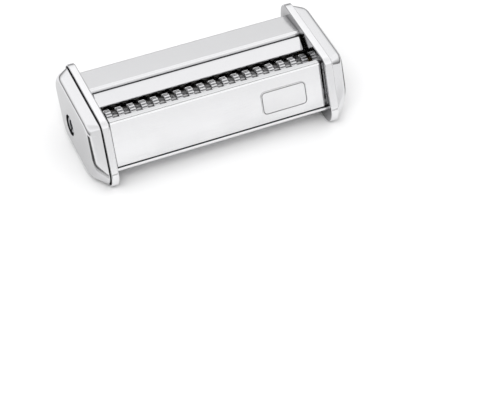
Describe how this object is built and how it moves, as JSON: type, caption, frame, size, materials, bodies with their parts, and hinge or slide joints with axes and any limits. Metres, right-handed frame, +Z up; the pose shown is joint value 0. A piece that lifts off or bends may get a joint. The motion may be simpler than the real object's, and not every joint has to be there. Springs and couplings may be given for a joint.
{
  "type": "pasta cutter head",
  "caption": "Metal pasta cutter head: two grooved rollers between dished side plates, under a sloping dough guide, cut a dough sheet into strands. One roller end takes a crank.",
  "frame": {"origin": "middle of the footprint, on the surface the side plates stand on", "axes": "+X along the rollers towards the gear end, -Y the front where the strands come out, +Z up"},
  "size_m": [0.1846, 0.0868, 0.0482],
  "materials": {
    "plate_chrome": "polished chrome plate",
    "cover_chrome": "polished chrome plate",
    "frame_steel": "zinc plated",
    "satin_sheet": "satin",
    "polished_sheet": "polished",
    "badge_metal": "fine satin, blank",
    "roller_chrome": "plated and machined",
    "gear_steel": "machined, greased",
    "clip_steel": "plain",
    "bush_bronze": "sintered bronze",
    "comb_steel": "spring steel",
    "rod_steel": "drawn"
  },
  "bodies": {
    "head": {"left_side_plate": "plate_chrome", "right_side_plate": "plate_chrome", "left_end_cover": "cover_chrome", "right_end_cover": "cover_chrome", "left_bearing_plate": "frame_steel", "right_bearing_plate": "frame_steel", "top_cover": "satin_sheet", "dough_guide": "polished_sheet", "front_cover": "polished_sheet", "badge": "badge_metal", "strand_guard": "polished_sheet", "rear_left_bush": "bush_bronze", "rear_right_bush": "bush_bronze", "front_left_bush": "bush_bronze", "front_right_bush": "bush_bronze", "roller_washers": "bush_bronze", "rear_comb": "comb_steel", "front_comb": "comb_steel", "rear_comb_rod": "rod_steel", "front_comb_rod": "rod_steel", "rear_tie_rod": "rod_steel", "front_tie_rod": "rod_steel", "cover_spacers": "clip_steel", "left_tie_nuts": "clip_steel", "right_tie_nuts": "clip_steel", "left_hook": "frame_steel", "right_hook": "frame_steel", "hook_rivets": "clip_steel"},
    "rear_cutter": {"rear_roller": "roller_chrome", "rear_gear": "gear_steel", "rear_gear_clip": "clip_steel", "rear_journal_clip": "clip_steel"},
    "front_cutter": {"front_roller": "roller_chrome", "front_gear": "gear_steel", "front_gear_clip": "clip_steel", "front_journal_clip": "clip_steel"}
  },
  "joints": [
    {"name": "rear_roller_spin", "type": "hinge", "parent": "head", "child": "rear_cutter", "pos_m": [0, 0.0098, 0.0198], "axis": [1, 0, 0], "continuous": true},
    {"name": "front_roller_spin", "type": "hinge", "parent": "head", "child": "front_cutter", "pos_m": [0, -0.00379, 0.02614], "axis": [1, 0, 0], "continuous": true}
  ],
  "couplings": [
    {"joint": "front_roller_spin", "follows": "rear_roller_spin", "ratio": -1}
  ]
}
